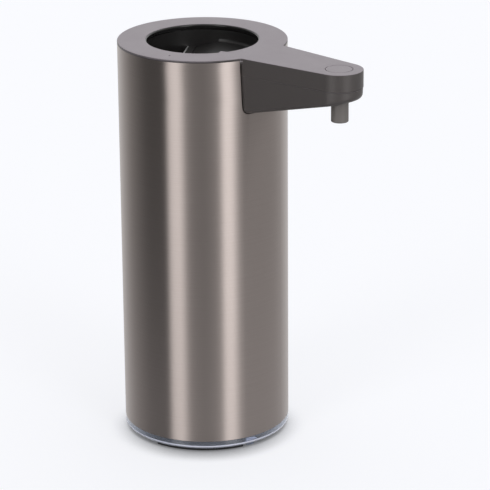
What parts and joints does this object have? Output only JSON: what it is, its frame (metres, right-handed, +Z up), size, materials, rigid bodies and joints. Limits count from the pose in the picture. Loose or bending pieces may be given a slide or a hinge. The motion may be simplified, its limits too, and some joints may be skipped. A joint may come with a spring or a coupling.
{
  "type": "automatic soap dispenser",
  "caption": "Free-standing automatic soap dispenser: round steel body, open refill mouth, and a spout arm with a power button, a sensor and a nozzle.",
  "frame": {"origin": "centre of the foot's lower face, on the body's axis, at the level of the table", "axes": "+Z up along the body, +X along the spout arm towards its tip, +Y to the left of the arm"},
  "size_m": [0.127, 0.076, 0.184],
  "materials": {
    "shell_steel": "vertical strip polish, brushed round the body, clear coated",
    "cover_plastic": "satin metallic grey paint",
    "arm_plastic": "satin metallic grey paint",
    "nozzle_plastic": "satin grey",
    "clear_base": "clear polycarbonate, polished",
    "black_plastic": "fine satin",
    "tank_plastic": "gloss black",
    "foot_rubber": "matt",
    "window_dark": "dark infrared-clear plastic",
    "board_green": "solder mask",
    "switch_black": "moulded",
    "led_clear": "clear lens",
    "fastener_steel": "zinc plated",
    "spring_steel": "bright drawn wire",
    "cell_wrap": "printed sleeve left plain",
    "contact_nickel": "nickel plated",
    "motor_can": "drawn steel",
    "armature_copper": "lacquered winding",
    "shaft_steel": "ground",
    "pinion_brass": "cut",
    "gear_plastic": "acetal",
    "pump_plastic": "moulded",
    "seal_rubber": "silicone",
    "tube_silicone": "translucent silicone",
    "lead_sleeve": "soft vinyl"
  },
  "bodies": {
    "housing": {"outer_shell": "shell_steel", "top_cover": "cover_plastic", "spout_lower_cover": "arm_plastic", "spout_screws": "fastener_steel", "button_spring": "spring_steel", "button_board": "board_green", "button_switch": "switch_black", "status_led": "led_clear", "led_lead": "lead_sleeve", "nozzle": "nozzle_plastic", "nozzle_valve": "tube_silicone", "outlet_tube": "tube_silicone", "sensor_window": "window_dark", "sensor_board": "board_green", "ir_emitter": "led_clear", "ir_receiver": "switch_black", "sensor_cable": "lead_sleeve", "tank": "tank_plastic", "filler_guard": "tank_plastic", "outlet_strainer": "fastener_steel", "tank_seal": "seal_rubber", "chassis": "black_plastic", "main_board": "board_green", "battery_1": "cell_wrap", "battery_2": "cell_wrap", "battery_3": "cell_wrap", "battery_4": "cell_wrap", "battery_springs": "spring_steel", "upper_contacts": "contact_nickel", "lower_contacts": "contact_nickel", "contact_carrier": "black_plastic", "motor_case": "motor_can", "gearbox_case": "pump_plastic", "shaft_seal": "seal_rubber", "pump_body": "pump_plastic", "idler_axle": "shaft_steel", "pump_gasket": "seal_rubber", "pump_cover": "pump_plastic", "pump_screws": "fastener_steel", "base_ring": "clear_base", "base_plate": "black_plastic", "base_screws": "fastener_steel", "foot_pad": "foot_rubber"},
    "power_button": {"power_button": "cover_plastic"},
    "motor_rotor": {"motor_armature": "armature_copper", "motor_shaft": "shaft_steel", "motor_pinion": "pinion_brass"},
    "pump_rotor": {"drive_gear": "gear_plastic", "pump_shaft": "shaft_steel", "pump_drive_gear": "gear_plastic"},
    "pump_idler": {"pump_idler_gear": "gear_plastic"},
    "battery_door": {"battery_cover": "black_plastic", "battery_cover_seal": "seal_rubber"}
  },
  "joints": [
    {"name": "button_press", "type": "slide", "parent": "housing", "child": "power_button", "axis": [0, 0, -1], "range_m": [0, 0.0006], "stiffness_N_per_m": 350, "springref_m": -0.0008, "deforming": ["button_spring"]},
    {"name": "motor_spin", "type": "hinge", "parent": "housing", "child": "motor_rotor", "pos_m": [0.0216, -0.0075, 0.025], "axis": [0, 0, 1], "continuous": true},
    {"name": "pump_spin", "type": "hinge", "parent": "housing", "child": "pump_rotor", "pos_m": [0.0216, 0.0045, 0.045], "axis": [0, 0, 1], "continuous": true},
    {"name": "idler_spin", "type": "hinge", "parent": "housing", "child": "pump_idler", "pos_m": [0.0216, -0.0045, 0.053], "axis": [0, 0, 1], "continuous": true},
    {"name": "door_turn", "type": "hinge", "parent": "housing", "child": "battery_door", "pos_m": [0, 0, 0.003], "axis": [0, 0, 1], "range_deg": [0, 30]}
  ],
  "couplings": [
    {"joint": "pump_spin", "follows": "motor_spin", "ratio": -0.33333},
    {"joint": "idler_spin", "follows": "motor_spin", "ratio": 0.33333}
  ]
}
